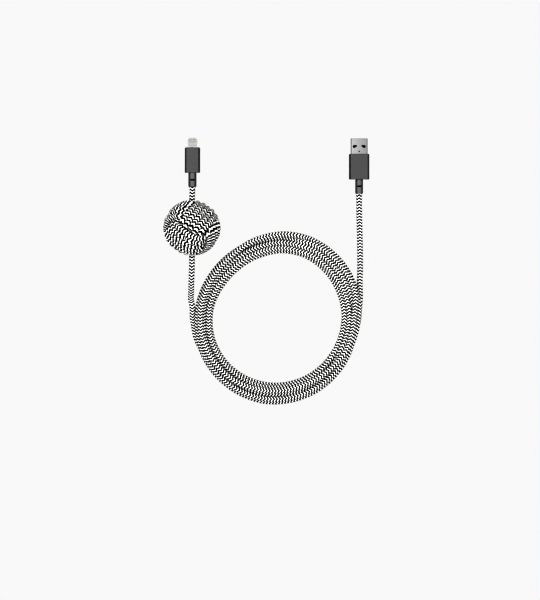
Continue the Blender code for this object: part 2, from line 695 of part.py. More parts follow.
def coil_profile():
    """Outline of the pile of turns, in distance from the coil's middle and height: the
    outer arc of each turn, from where it touches the one before to where it touches the
    next."""
    radius = CORD_DIAMETER / 2
    centres = [(COIL_INNER_RADIUS + radius + place * CORD_DIAMETER,
                radius + row * CORD_DIAMETER * math.sqrt(3) / 2) for place, row in COIL_PILE]
    outline = []
    for before, here, after in zip(centres[-1:] + centres, centres, centres[1:] + centres[:1]):
        start, end = (math.degrees(math.atan2(other[1] - here[1], other[0] - here[0]))
                      for other in (before, after))
        end += 360 if end <= start else 0
        facets = round((end - start) / COIL_FACET)
        for angle in np.radians(np.linspace(start, end, facets + 1))[1:]:
            outline.append((here[0] + radius * math.cos(angle), here[1] + radius * math.sin(angle)))
    return outline


def make_cord(mat):
    profile = coil_profile()
    rings = []
    for k in range(COIL_SEGMENTS):
        angle = 2 * math.pi * k / COIL_SEGMENTS
        rings.append([(COIL_CENTRE[0] + r * math.cos(angle), COIL_CENTRE[1] + r * math.sin(angle), z)
                      for r, z in profile])
    mesh = facing_out(mesh_from("cable_coil", *skin_rings(rings, closed=True)))
    new_object("cable_coil", mesh, mat["braid"])
    for name, route in (("cable_lead_knot", KNOT_LEAD), ("cable_lead_charger", CHARGER_LEAD)):
        cord_curve(name, smooth_route(np.array(route) * MM, CORD_STEP), CORD_DIAMETER,
                   mat["braid"])


# ---- assembly ----

def main():
    for obj in list(bpy.data.objects):
        bpy.data.objects.remove(obj, do_unlink=True)
    mat = {
        "housing": make_material("housing plastic", (0.075, 0.075, 0.077), 0.45),
        "relief": make_material("strain relief rubber", (0.085, 0.085, 0.088), 0.55),
        "rubber": make_material("inner jacket", (0.03, 0.03, 0.03), 0.7),
        "steel": make_material("bright steel", (0.62, 0.62, 0.64), 0.28, 1.0),
        "gold": make_material("contact gold", (0.85, 0.62, 0.30), 0.3, 1.0),
        "brass": make_material("crimp brass", (0.72, 0.55, 0.28), 0.35, 1.0),
        "black": make_material("black plastic", (0.02, 0.02, 0.02), 0.5),
        "board": make_material("circuit board", (0.02, 0.12, 0.06), 0.5),
        "braid": make_material("woven braid", (0.35, 0.35, 0.35), 0.85),
        "wires": {
            "red": make_material("red wire", (0.55, 0.02, 0.02), 0.5),
            "black": make_material("black wire", (0.02, 0.02, 0.02), 0.5),
            "white": make_material("white wire", (0.75, 0.75, 0.75), 0.5),
            "green": make_material("green wire", (0.02, 0.35, 0.06), 0.5),
        },
    }
    height = make_knot(mat)
    make_cord(mat)

    slope = TAB_PLUG_DROOP
    from_bend = BEND_TO_RELIEF + TAB_RELIEF[1]
    back_y = BEND_START_Y + BEND_RADIUS * math.sin(slope) + from_bend * math.cos(slope)
    back_z = height - BEND_RADIUS * (1 - math.cos(slope)) - from_bend * math.sin(slope)
    make_tab_plug(mat, plug_frame("tab_plug_frame", (TAB_PLUG_X, back_y, back_z), slope))
    make_type_a_plug(mat, plug_frame("type_a_frame", (A_PLUG_X, A_PLUG_Y, A_HOUSING[2] / 2)))
    print("knot height", round(height / MM, 3), "tab plug back", round(back_y / MM, 2), round(back_z / MM, 2))


main()
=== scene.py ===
import math

import bpy
import numpy as np
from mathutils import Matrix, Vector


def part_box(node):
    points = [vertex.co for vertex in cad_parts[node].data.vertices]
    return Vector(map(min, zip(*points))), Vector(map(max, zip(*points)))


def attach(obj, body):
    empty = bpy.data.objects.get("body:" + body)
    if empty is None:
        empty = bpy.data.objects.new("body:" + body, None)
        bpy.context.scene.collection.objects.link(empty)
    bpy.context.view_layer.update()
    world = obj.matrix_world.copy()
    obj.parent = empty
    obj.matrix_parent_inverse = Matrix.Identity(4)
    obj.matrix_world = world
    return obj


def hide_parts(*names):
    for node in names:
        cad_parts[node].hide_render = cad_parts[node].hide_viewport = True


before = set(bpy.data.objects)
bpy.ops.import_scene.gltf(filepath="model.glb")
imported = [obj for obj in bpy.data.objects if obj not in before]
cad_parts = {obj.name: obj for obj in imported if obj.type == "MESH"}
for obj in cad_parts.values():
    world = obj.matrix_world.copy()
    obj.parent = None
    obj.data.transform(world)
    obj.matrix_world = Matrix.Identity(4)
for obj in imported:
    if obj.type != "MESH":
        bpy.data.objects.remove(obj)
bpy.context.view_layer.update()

mm = 0.001
print("frame loaded:", len(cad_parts), "nodes")


class Wire:
    # one output socket; arithmetic on it adds Math nodes
    def __init__(self, finish, socket):
        self.finish, self.socket = finish, socket

    def math(self, operation, *others, clamp=False):
        return self.finish.add("ShaderNodeMath", {"operation": operation, "use_clamp": clamp},
                               {i: value for i, value in enumerate((self, *others))})

    def __add__(self, other):
        return self.math("ADD", other)

    def __radd__(self, other):
        return self.math("ADD", other)

    def __mul__(self, other):
        return self.math("MULTIPLY", other)

    def __rmul__(self, other):
        return self.math("MULTIPLY", other)

    def __sub__(self, other):
        return self.math("SUBTRACT", other)

    def __rsub__(self, other):
        return self.finish.value(other).math("SUBTRACT", self)

    def fract(self):
        return self.math("FRACT")

    def zigzag(self, top=1.0):
        return self.math("PINGPONG", top)

    def power(self, other):
        return self.math("POWER", other)

    def biggest(self, other):
        return self.math("MAXIMUM", other)

    def ramp(self, low, high, toLow=0.0, toHigh=1.0):
        # smooth step: toLow below low, toHigh above high
        return self.finish.add("ShaderNodeMapRange", {"interpolation_type": "SMOOTHSTEP"},
                               {"Value": self, "From Min": low, "From Max": high,
                                "To Min": toLow, "To Max": toHigh})


class Finish:
    # one material: add() makes any node from its type, settings and the values or wires of its sockets
    def __init__(self, name):
        self.material = bpy.data.materials.new(name)
        self.material.use_nodes = True
        self.tree = self.material.node_tree
        self.tree.nodes.clear()

    def add(self, kind, settings=None, sockets=None, out=0):
        node = self.tree.nodes.new(kind)
        for key, value in (settings or {}).items():
            setattr(node, key, value)
        for key, value in (sockets or {}).items():
            if isinstance(value, Wire):
                self.tree.links.new(value.socket, node.inputs[key])
            elif isinstance(value, tuple) and len(value) == 3 and node.inputs[key].type == "RGBA":
                node.inputs[key].default_value = (*value, 1.0)
            else:
                node.inputs[key].default_value = value
        return Wire(self, node.outputs[out]) if node.outputs else None

    def value(self, number):
        node = self.tree.nodes.new("ShaderNodeValue")
        node.outputs[0].default_value = number
        return Wire(self, node.outputs[0])

    def uv(self):
        both = self.add("ShaderNodeSeparateXYZ", sockets={"Vector": self.add("ShaderNodeUVMap")})
        return both, Wire(self, both.socket.node.outputs[1])

    def place(self):
        return self.add("ShaderNodeTexCoord", out=3)

    def axis(self, number):
        # 0, 1 or 2 for the X, Y or Z of the place, in metres
        return self.add("ShaderNodeSeparateXYZ", sockets={"Vector": self.place()}, out=number)

    def noise(self, vector, scale, detail=2.0, roughness=0.5):
        return self.add("ShaderNodeTexNoise", None, {"Vector": vector, "Scale": scale, "Detail": detail,
                                                     "Roughness": roughness})

    def mix(self, factor, first, second):
        return self.add("ShaderNodeMix", {"data_type": "RGBA"}, {0: factor, 6: first, 7: second}, out=2)

    def bump(self, height, distance, strength=1.0):
        return self.add("ShaderNodeBump", None, {"Height": height, "Distance": distance,
                                                 "Strength": strength})

    def surface(self, **sockets):
        return self.add("ShaderNodeBsdfPrincipled", None,
                        {key.replace("_", " "): value for key, value in sockets.items()})

    def finish(self, shader):
        self.add("ShaderNodeOutputMaterial", None, {"Surface": shader})
        return self.material

    def done(self, **sockets):
        return self.finish(self.surface(**sockets))


braid = {
    "pitch": 2.15 * mm,        # one black and one white stripe along the cord
    "zigzags": 4,              # round the cord
    "reach": 1.2 * mm,         # of a zigzag along the cord
    "blackShare": 0.555,
    "white": (0.93, 0.93, 0.92),
    "threads": 5,              # in one pitch
    "relief": 0.16 * mm,
}


def braidFinish(name, reach):
    # stripe phase = length / pitch + reach / pitch * zigzag(turns), threads lie along the stripes
    f = Finish(name)
    turns, pitches = f.uv()
    zig = (turns * (2.0 * braid["zigzags"])).zigzag()
    phase = pitches + zig * (reach / braid["pitch"])
    place = phase.fract()
    edge = 0.035
    black = place.ramp(0.0, edge) * (1.0 - place.ramp(braid["blackShare"], braid["blackShare"] + edge))
    thread = ((phase * braid["threads"]).fract() - 0.5).math("ABSOLUTE")
    ridge = 1.0 - (thread * 2.0).power(2.0)
    dive = (zig - 0.5).math("ABSOLUTE").ramp(0.30, 0.5)   # 1 where the threads go under
    fuzz = f.noise(f.place(), 2600.0, 3.0, 0.6)
    blackTone = f.mix(fuzz, (0.002, 0.002, 0.002), (0.014, 0.014, 0.015))
    whiteTone = f.mix(fuzz, (0.84, 0.84, 0.83), braid["white"])
    # painted shade: the white is darkened toward grey at the thread edges where the threads go under
    whiteTone = f.mix(dive * 0.25 * thread, whiteTone, (0.45, 0.45, 0.44))
    colour = f.mix(black, whiteTone, blackTone)
    height = ridge * (1.0 - dive * 0.7) + fuzz * 0.25
    return f.done(Base_Color=colour, Roughness=0.82, Specular_IOR_Level=0.05,
                  Sheen_Weight=0.0, Normal=f.bump(height, braid["relief"], 0.6))


def gridMesh(name, points, material, uv=None, closed=False, capped=True, crease=None):
    # rows x columns x 3 points: each row is a closed ring, and the rows join up if closed, else the
    # first and last are capped
    rows, columns = points.shape[:2]
    last = rows if closed else rows - 1
    i, j = np.meshgrid(np.arange(last), np.arange(columns), indexing="ij")
    nextRow, nextColumn = (i + 1) % rows, (j + 1) % columns
    quads = np.stack([i * columns + j, i * columns + nextColumn,
                      nextRow * columns + nextColumn, nextRow * columns + j], axis=-1).reshape(-1, 4)
    corners = quads.ravel()
    starts = np.arange(len(quads)) * 4
    totals = np.full(len(quads), 4)
    if capped and not closed:
        caps = np.concatenate([np.arange(columns)[::-1], (rows - 1) * columns + np.arange(columns)])
        starts = np.concatenate([starts, [len(corners), len(corners) + columns]])
        totals = np.concatenate([totals, [columns, columns]])
        corners = np.concatenate([corners, caps])
    mesh = bpy.data.meshes.new(name)
    mesh.vertices.add(rows * columns)
    mesh.vertices.foreach_set("co", points.astype(np.float32).ravel())
    mesh.loops.add(len(corners))
    mesh.loops.foreach_set("vertex_index", corners.astype(np.int32))
    mesh.polygons.add(len(starts))
    mesh.polygons.foreach_set("loop_start", starts.astype(np.int32))
    mesh.polygons.foreach_set("loop_total", totals.astype(np.int32))
    mesh.update(calc_edges=True)
    if uv is not None:
        along, around = uv   # a value for each row, and one more where rows join up; and from 0 to 1
        u = np.stack([around[j], around[j + 1], around[j + 1], around[j]], axis=-1)
        v = np.stack([along[i], along[i], along[i + 1], along[i + 1]], axis=-1)
        flat = np.zeros((len(corners), 2))
        flat[:len(quads) * 4] = np.stack([u, v], axis=-1).reshape(-1, 2)
        layer = mesh.uv_layers.new(name="UVMap")
        layer.data.foreach_set("uv", flat.astype(np.float32).ravel())
    mesh.shade_smooth()
    if crease:
        mesh.set_sharp_from_angle(angle=crease)
    mesh.validate()
    piece = bpy.data.objects.new(name, mesh)
    bpy.context.scene.collection.objects.link(piece)
    mesh.materials.append(material)
    return piece


def lengthAlong(points):
    return np.concatenate([[0.0], np.cumsum(np.linalg.norm(np.diff(points, axis=0), axis=1))])


def evenPoints(points, step):
    # points a step apart along a Catmull-Rom curve through the given ones
    ends = np.vstack([2 * points[0] - points[1], points, 2 * points[-1] - points[-2]])
    a, b, c, d = ends[:-3, None], ends[1:-2, None], ends[2:-1, None], ends[3:, None]
    t = np.linspace(0.0, 1.0, 12, endpoint=False)[None, :, None]
    fine = 0.5 * (2 * b + (c - a) * t + (2 * a - 5 * b + 4 * c - d) * t**2
                  + (3 * b - a - 3 * c + d) * t**3)
    fine = np.vstack([fine.reshape(-1, 3), points[-1:]])
    run = lengthAlong(fine)
    places = np.linspace(0.0, run[-1], max(2, round(run[-1] / step) + 1))
    return np.stack([np.interp(places, run, fine[:, k]) for k in range(3)], axis=1)


cord = {
    "diameter": 4.0 * mm,
    "length": 2.75,              # as stated; the route comes near it
    "ringStep": 1.7 * mm,
    "sides": 22,
    "coilCentre": (6.6 * mm, -86.4 * mm),
    "stationsPerTurn": 120,
    "level": 3.46 * mm,          # from one row of turns to the next, which lies in its hollows
    "knotLead": [(-52.9, 7.9, 18.2), (-52.9, 5.9, 18.4), (-52.9, 2.9, 18.7), (-53.0, 0.3, 18.8),
                 (-53.1, -2.3, 18.9), (-53.2, -8.4, 18.9), (-53.2, -23.0, 18.9), (-53.2, -36.4, 18.9),
                 (-53.2, -46.4, 18.9), (-53.3, -51.4, 18.8), (-53.5, -57.4, 17.7), (-53.8, -63.4, 14.9),
                 (-54.0, -68.4, 11.5), (-54.3, -73.6, 8.0)],
    "chargerLead": [(65.6, 3.5, 3.8), (65.6, -1.4, 3.8), (65.7, -8.4, 3.1), (65.8, -15.4, 2.2),
                    (66.0, -22.4, 2.1), (66.3, -36.4, 2.1), (66.4, -50.4, 2.1), (66.1, -60.4, 2.1)],
    # angle round the coil, and the inner and outer reach of the bundle there
    "bundle": [(0, 46.5, 60.1), (20, 46.4, 62.7), (66, 46.9, 62.7), (85, 46.0, 61.5),
               (103, 44.1, 59.2), (130, 42.7, 58.8), (150, 43.2, 58.9), (172, 45.2, 59.3),
               (200, 46.4, 60.2), (228, 46.9, 61.3), (262, 46.8, 62.5), (300, 46.3, 61.2),
               (326, 46.1, 59.9), (340, 46.2, 58.9)],
    "turns": 8,
    # along the path: the turn, counted from the angle 180, its slot from the inside and its row of the pile
    "entry": [(-0.03, 3.2, 1.9), (0.0, 3.0, 0.9), (0.03, 2.7, 0.0), (0.09, 2.6, 0.0), (0.125, 3.0, 0.0),
              (0.20, 3.15, 0.0), (0.42, 3.0, 0.0), (0.45, 2.7, 1.0), (0.50, 2.5, 1.2), (0.535, 2.5, 1.1),
              (0.56, 2.8, 0.6), (0.60, 3.0, 0.0), (0.66, 3.0, 0.0), (0.69, 3.0, 0.9), (0.72, 3.0, 2.0),
              (0.80, 2.9, 2.0), (0.84, 2.3, 2.0), (0.92, 2.1, 2.0), (1.06, 1.85, 2.0), (1.17, 1.4, 2.0),
              (1.25, 0.85, 2.0), (1.31, 0.9, 2.0), (1.39, 1.5, 2.0), (1.44, 2.2, 2.0)],
    "hollows": [(2.25, 2.5, 1.0), (2.3, 2.15, 1.0), (2.38, 2.15, 1.0)],
    # the turn, and how far the outer reach gives way there for the leads to run in and out
    "slack": [(-0.03, 5.5), (0.06, 0.0), (7.48, 0.0), (7.56, 5.5)],
    # slot and row of the second turn and the next five
    "pile": [(2.5, 1.0), (1.5, 1.0), (0.5, 1.0), (0.0, 0.0), (1.0, 0.0), (2.0, 0.0)],
    "exit": [(7.45, 3.0, 0.0), (7.50, 3.0, 0.0), (7.528, 2.9, 0.0), (7.556, 3.4, 0.0)],
    "settleSteps": 400,
    "touch": 0.985,              # strands this share of a diameter apart touch
    "bend": 0.25,                # what a step does: straightens,
    "pull": 0.03,                # draws to the target,
    "sink": 0.01 * mm,           # lets down,
    "push": 0.35,                # and parts what touches
}


def routeAngle(point, turnsBefore=0):
    away = np.array(point[:2]) * mm - cord["coilCentre"]
    return math.degrees(math.atan2(away[1], away[0])) % 360 + turnsBefore * 360


def settleCoil():
    # the turns as strands that cross each angle: a slot and a row give each its target, and then
    # strands that touch push each other apart
    start, end = routeAngle(cord["knotLead"][-1]), routeAngle(cord["chargerLead"][-1], cord["turns"])
    step = 360 / cord["stationsPerTurn"]
    angle = np.linspace(start, end, round((end - start) / step) + 1)
    stops = list(cord["entry"])
    for number, (across, row) in enumerate(cord["pile"], start=2):
        stops += [(number - 0.39, across, row), (number + 0.44, across, row)]   # it changes slot in between
    stops += cord["hollows"] + cord["exit"]
    turn, across, row = np.array(sorted(stops)).T
    at = angle / 360 - 0.5
    slackTurn, slack = np.array(cord["slack"]).T
    slack = np.interp(at, slackTurn, slack * mm)
    across, row = np.interp(at, turn, across), np.interp(at, turn, row)
    walls = np.array(cord["bundle"]).T
    inner, outer = (np.interp(angle % 360, walls[0], walls[k] * mm, period=360) for k in (1, 2))
    wide = cord["diameter"] * cord["touch"]
    half = cord["diameter"] / 2
    target = inner + (across + 0.5) / 4 * (outer - inner)
    radius, height = target.copy(), half + row * cord["level"]
    goal = height.copy()

    def polar(point):
        away = np.array(point) * mm
        return np.hypot(away[0] - cord["coilCentre"][0], away[1] - cord["coilCentre"][1]), away[2]

    first, last = polar(cord["knotLead"][-1]), polar(cord["chargerLead"][-1])
    size = cord["stationsPerTurn"]
    rows = -(-len(angle) // size)
    pad = rows * size - len(angle)
    alive = np.pad(np.ones(len(angle)), (0, pad)).reshape(rows, size) > 0
    for _ in range(cord["settleSteps"]):
        radius[0], height[0] = first
        radius[-1], height[-1] = last
        for line in (radius, height):
            line[1:-1] += cord["bend"] * ((line[:-2] + line[2:]) / 2 - line[1:-1])
        radius += cord["pull"] * (target - radius)
        height += cord["pull"] * (goal - height) - cord["sink"]
        r = np.pad(radius, (0, pad)).reshape(rows, size)
        z = np.pad(height, (0, pad)).reshape(rows, size)
        dr, dz = r[:, None] - r[None], z[:, None] - z[None]
        apart = np.maximum(np.hypot(dr, dz), 1e-6)
        touching = alive[:, None] & alive[None] & (apart < wide) & ~np.eye(rows, dtype=bool)[:, :, None]
        push = np.where(touching, cord["push"] * (wide - apart) / apart, 0.0)
        radius += (push * dr).sum(1).ravel()[:len(angle)]
        height += (push * dz).sum(1).ravel()[:len(angle)]
        height = np.maximum(height, half)
        radius = np.minimum(radius, outer - half + slack)
        radius = np.maximum(radius, inner + half)
    radius[0], height[0] = first
    radius[-1], height[-1] = last
    turned = np.radians(angle)
    return np.stack([cord["coilCentre"][0] + radius * np.cos(turned),
                     cord["coilCentre"][1] + radius * np.sin(turned), height], axis=1)


def tubeRings(path, radius, sides):
    # rings square to the path; each ring's up is the world's Z, or as near to it as the path allows
    ahead = np.gradient(path, axis=0)
    ahead /= np.linalg.norm(ahead, axis=1)[:, None]
    side = np.cross(ahead, (0.0, 0.0, 1.0))
    side /= np.linalg.norm(side, axis=1)[:, None]
    up = np.cross(side, ahead)
    turn = np.linspace(0.0, 2 * np.pi, sides, endpoint=False)[None, :, None]
    return path[:, None] + radius * (np.cos(turn) * side[:, None] + np.sin(turn) * up[:, None])


def makeCord(finish):
    leadIn = np.array(cord["knotLead"]) * mm
    leadOut = np.array(cord["chargerLead"])[::-1] * mm
    coil = settleCoil()
    path = evenPoints(np.vstack([leadIn[:-1], coil, leadOut[1:]]), cord["ringStep"])
    length = lengthAlong(path)
    piece = gridMesh("braided_cord", tubeRings(path, cord["diameter"] / 2, cord["sides"]), finish,
                     uv=(length / braid["pitch"], np.linspace(0.0, 1.0, cord["sides"] + 1)))
    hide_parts("cable_lead_knot", "cable_coil", "cable_lead_charger")
    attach(piece, "cable")
    print(f"cord {length[-1]:.3f} m")


knot = {
    "centre": (-53.2 * mm, -23.0 * mm, 18.89 * mm),
    "passes": 5,
    "pitch": 4.1 * mm,
    "surface": 17.2 * mm,      # radius of the outer layer's middle
    "weightRadius": 8.1 * mm,
    "boreRoom": 0.2 * mm,
    "turn": math.radians(29.4),
    "points": 36,
    "startRoom": 0.25 * mm,
    "settleSteps": 120,
    "bend": 0.15,              # what a step does at first, fading to nothing: straightens,
    "pull": 0.05,              # and draws to the layers
    "cord": 4.0 * mm,
    "reach": 0.85 * mm,        # of a zigzag, which bending pulls flatter
    "rings": 216,
    "sides": 22,
}


def evenLoops(loops, count):
    spaced = []
    for loop in loops:
        ring = np.vstack([loop, loop[:1]])
        run = lengthAlong(ring)
        places = np.linspace(0.0, run[-1], count, endpoint=False)
        spaced.append(np.stack([np.interp(places, run, ring[:, k]) for k in range(3)], axis=1))
    return np.array(spaced)


def flatLoops():
    # superellipses side by side: over the ball's outside along X and one layer deeper along Y
    turn = np.linspace(0.0, 2 * np.pi, knot["points"], endpoint=False)
    outer = knot["surface"] + knot["startRoom"]
    inner = outer - knot["pitch"]
    across = outer * np.sign(np.cos(turn)) * np.abs(np.cos(turn))**(2 / 3)
    deep = inner * np.sign(np.sin(turn)) * np.abs(np.sin(turn))**(2 / 3)
    offsets = (np.arange(knot["passes"]) - (knot["passes"] - 1) / 2) * knot["pitch"]
    return evenLoops([np.stack([across, deep, np.full(knot["points"], z)], axis=1) for z in offsets],
                     knot["points"])


def settleKnot():
    # one bundle pulled tight against its own copies, turned by a third about the cord
    axis = np.ones(3) / math.sqrt(3.0)
    lay = knot["pitch"]
    bore = cord["diameter"] / 2 + lay / 2 + knot["boreRoom"]
    core = knot["weightRadius"] + lay / 2
    points, loops = knot["points"], flatLoops()
    owner = np.repeat(np.arange(knot["passes"]), points)
    own = owner[:, None] == np.concatenate([owner, owner + 100, owner + 200])[None]
    for number in range(knot["settleSteps"]):
        slack = 1.0 - number / knot["settleSteps"]
        middle = (np.roll(loops, 1, axis=1) + np.roll(loops, -1, axis=1)) / 2
        loops = loops + knot["bend"] * slack * (middle - loops)
        for _ in range(3):
            flat = loops.reshape(-1, 3)
            radius = np.linalg.norm(flat, axis=1)
            layer = np.where(radius > (knot["surface"] + core) / 2, knot["surface"], core)
            flat = flat * (1 + knot["pull"] * slack * (layer / radius - 1))[:, None]
            every = np.concatenate([flat, flat[:, [2, 0, 1]], flat[:, [1, 2, 0]]])
            square = (flat**2).sum(1)[:, None] + (every**2).sum(1)[None] - 2 * flat @ every.T
            apart = np.sqrt(np.maximum(square, 1e-15))
            apart[own] = 1.0
            overlap = np.maximum(lay - apart, 0.0)
            push = 0.5 * overlap / apart
            share = np.maximum((overlap > 0).sum(1), 1)**0.6
            flat = flat + (flat * push.sum(1)[:, None] - push @ every) / share[:, None]
            radius = np.linalg.norm(flat, axis=1)
            reach = knot["surface"] + lay / 4 - lay / 8 * (flat @ axis / radius)**2
            flat = flat * np.clip(1.0, core / radius, reach / radius)[:, None]
            along = (flat @ axis)[:, None] * axis
            across = flat - along
            flat = along + across * np.maximum(1.0, bore / np.linalg.norm(across, axis=1))[:, None]
            loops = flat.reshape(loops.shape)
            loops = (loops - np.roll(loops[::-1], points // 2, axis=1)) / 2
        loops = evenLoops(loops, points)
    return loops


def roundLoop(loop, count):
    # the loop's Fourier series with more points, which is smooth through the given ones
    waves = np.fft.rfft(loop, axis=0)
    full = np.zeros((count // 2 + 1, 3), dtype=complex)
    full[:len(waves)] = waves
    return np.fft.irfft(full, n=count, axis=0) * (count / len(loop))


def loopRings(loop, radius, sides):
    # rings square to the loop, turned to its middle
    ahead = np.roll(loop, -1, axis=0) - np.roll(loop, 1, axis=0)
    ahead /= np.linalg.norm(ahead, axis=1)[:, None]
    out = loop - loop.mean(axis=0)
    side = np.cross(ahead, out)
    side /= np.linalg.norm(side, axis=1)[:, None]
    out = np.cross(side, ahead)
    turn = np.linspace(0.0, 2 * np.pi, sides, endpoint=False)[None, :, None]
    return loop[:, None] + radius * (np.cos(turn) * side[:, None] + np.sin(turn) * out[:, None])


def makeKnot(finish):
    across, along = math.sqrt(2 / 3), math.sqrt(1 / 3)
    axes = np.array([[across * math.sin(a), along, across * math.cos(a)]
                     for a in (knot["turn"] + k * 2 * math.pi / 3 for k in range(3))])
    loops = settleKnot()
    lengths = [lengthAlong(np.vstack([loop, loop[:1]]))[-1] for loop in loops]
    stripes = round(np.mean(lengths) / braid["pitch"])   # a whole number, so that they meet
    around = np.linspace(0.0, 1.0, knot["sides"] + 1)
    for letter, order in zip("abc", ([0, 1, 2], [2, 0, 1], [1, 2, 0])):
        for number, loop in enumerate(loops, start=1):
            turn = roundLoop(loop[:, order] @ axes + np.array(knot["centre"]), knot["rings"])
            run = lengthAlong(np.vstack([turn, turn[:1]]))
            rings = loopRings(turn, knot["cord"] / 2, knot["sides"])
            rings[..., 2] = np.maximum(rings[..., 2], 0.0)   # pressed flat where the knot rests
            piece = gridMesh(f"knot_cord_{letter}{number}", rings, finish,
                             uv=(run / run[-1] * stripes, around), closed=True)
            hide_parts(f"knot_pass_{letter}{number}")
            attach(piece, "knot")


plugs = {
    "droop": math.radians(5.0),            # of the tab plug
    "tabHousing": (10.7 * mm, 17.7 * mm, 6.4 * mm),
    "chargerHousing": (14.3 * mm, 18.0 * mm, 7.6 * mm),
    "side": (1.6 * mm, 3.0 * mm),          # how far the long edges are rounded, across and in height
    "tabLean": math.radians(8.0),          # of the moulded back faces
    "chargerLean": math.radians(3.0),
    "end": 0.45 * mm,
    "flat": 0.12 * mm,                     # rows and columns this close to a rounding keep the faces flat
    "mouthDepth": 2.0 * mm,
    "tabMouth": (6.8 * mm, 1.62 * mm, 0.3 * mm),
    "chargerMouth": (12.1 * mm, 4.6 * mm, 0.75 * mm),
    "tabRelief": (5.6 * mm, 10.2 * mm),
    "chargerRelief": (5.4 * mm, 10.3 * mm),
    "taper": 1.3 * mm,
    "lip": 2.1 * mm,                       # half the width of the relief's end
    "bore": 2.03 * mm,
    "groove": (0.18 * mm, 0.4 * mm),       # between relief and housing: depth and length
    "slot": (2.9 * mm, 1.05 * mm, 0.7 * mm),
    "tabSlot": 4.8 * mm,                   # from the relief's end
    "chargerSlot": 5.35 * mm,
    "reliefSides": 96,
}


def sectionRing(width, height, rounding, steps=9):
    # a rectangle with quarter ellipses for corners, and a point on each flat close to its ends
    a, b = rounding
    turn = np.linspace(0.0, np.pi / 2, steps)
    x = np.concatenate([[0.0], a * (np.cos(turn) - 1.0), [-a - plugs["flat"]]]) + width / 2
    z = np.concatenate([[-b - plugs["flat"]], b * (np.sin(turn) - 1.0), [0.0]]) + height / 2
    return np.concatenate([np.stack([x, z], axis=1), np.stack([-x[::-1], z[::-1]], axis=1),
                           np.stack([-x, -z], axis=1), np.stack([x[::-1], -z[::-1]], axis=1)])


def placed(points, origin, droop):
    # from a plug's own axes, where +Y is its front, to the cable's
    x, y, z = points[..., 0], points[..., 1], points[..., 2]
    return np.stack([x, y * math.cos(droop) + z * math.sin(droop),
                     z * math.cos(droop) - y * math.sin(droop)], axis=-1) + origin


def makeHousing(name, node, size, mouth, droop, lean, finish):
    # rounded block whose skin goes on into the mouth: rows are (Y, inset) of the outside, then the mouth
    width, length, height = size
    end, flat = plugs["end"], plugs["flat"]
    turn = np.linspace(0.0, np.pi / 2, 6)
    back = [(end * (1 - math.sin(t)), end * (1 - math.cos(t))) for t in turn[::-1]]
    rows = back + [(end + flat, 0.0)]
    rows += [(length - y, inset) for y, inset in rows[::-1]]
    a, b = plugs["side"]
    rings = [(sectionRing(width - 2 * inset, height - 2 * inset, (a - inset / 2, b - inset / 2)), y)
             for y, inset in rows]
    opening = sectionRing(mouth[0], mouth[1], (mouth[2], mouth[2]))
    rings += [(opening, length), (opening, length - plugs["mouthDepth"])]
    points = np.stack([np.column_stack([ring[:, 0], np.full(len(ring), y), ring[:, 1]])
                       for ring, y in rings])
    points[..., 1] -= points[..., 2] * math.tan(lean) * (1.0 - points[..., 1] / length)
    low, high = (np.array(corner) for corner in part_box(node))
    origin = (low + high) / 2 - length / 2 * np.array([0.0, math.cos(droop), -math.sin(droop)])
    piece = gridMesh(name, placed(points, origin, droop), finish, crease=math.radians(40))
    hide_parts(node)
    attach(piece, "cable")
    return origin


def makeRelief(name, node, size, slotPlace, origin, droop, finish):
    # a round sleeve behind the housing: a groove, the barrel with its two slots, and a rounded taper
    diameter, length = size
    outer, lip, taper = diameter / 2, plugs["lip"], plugs["taper"]
    depth, run = plugs["groove"]
    width, long, deep = plugs["slot"]
    middle = length - slotPlace
    turn = np.linspace(0.0, np.pi / 2, 9)
    sill = 0.03 * mm
    rows = [(-0.3 * mm, outer - depth), (0.7 * run, outer - depth), (run, outer), (1.3 * run, outer)]
    rows += [(middle + along, outer) for along in (-long / 2 - sill, -long / 2, long / 2, long / 2 + sill)]
    rows += [(length - taper - plugs["flat"], outer)]
    rows += [(length - taper * (1 - math.sin(t)), lip + (outer - lip) * math.cos(t)) for t in turn]
    rows += [(length, plugs["bore"]), (length - 2.0 * mm, plugs["bore"])]
    rows = np.array(rows)
    around = np.linspace(0.0, 2 * np.pi, plugs["reliefSides"], endpoint=False)
    x = rows[:, 1:] * np.cos(around)
    narrowing = (rows[:, 0] > middle) & (rows[:, 1] < outer) & (rows[:, 1] > plugs["bore"])
    tall = np.where(narrowing, outer - 0.1 * (outer - rows[:, 1]), rows[:, 1])
    z = tall[:, None] * np.sin(around)
    inSlot = (np.abs(rows[:, :1] - middle) <= 0.501 * long) & (np.abs(x) < width / 2)
    z = np.where(inSlot, np.clip(z, deep - outer, outer - deep), z)
    points = np.stack([x, np.broadcast_to(-rows[:, :1], x.shape), z], axis=-1)
    # the columns turn from +X to +Z, which faces in where Y falls, so they are taken backwards
    piece = gridMesh(name, placed(points[:, ::-1], origin, droop), finish, crease=math.radians(40),
                     uv=((rows[:, 0] - middle) / mm, np.linspace(1.0, 0.0, plugs["reliefSides"] + 1)))
    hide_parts(node)
    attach(piece, "cable")


shell = {
    "sheet": 0.3 * mm,
    "round": 0.75 * mm,
    "nose": ((0.0, 0.14), (0.04, 0.05), (0.12, 0.0)),   # back from the tip, inset, in mm
    "play": 0.25 * mm,       # narrower than its nominal width
    # a window is the hull of two discs: (from the middle, back from the tip, radius)
    "windowOuter": (3.55 * mm, 5.75 * mm, 1.0 * mm),
    "windowInner": (2.1 * mm, 5.26 * mm, 0.5 * mm),
    "dimple": (9.2 * mm, 0.55 * mm, 0.18 * mm),    # back from the tip, radius, middle above the sheet
}


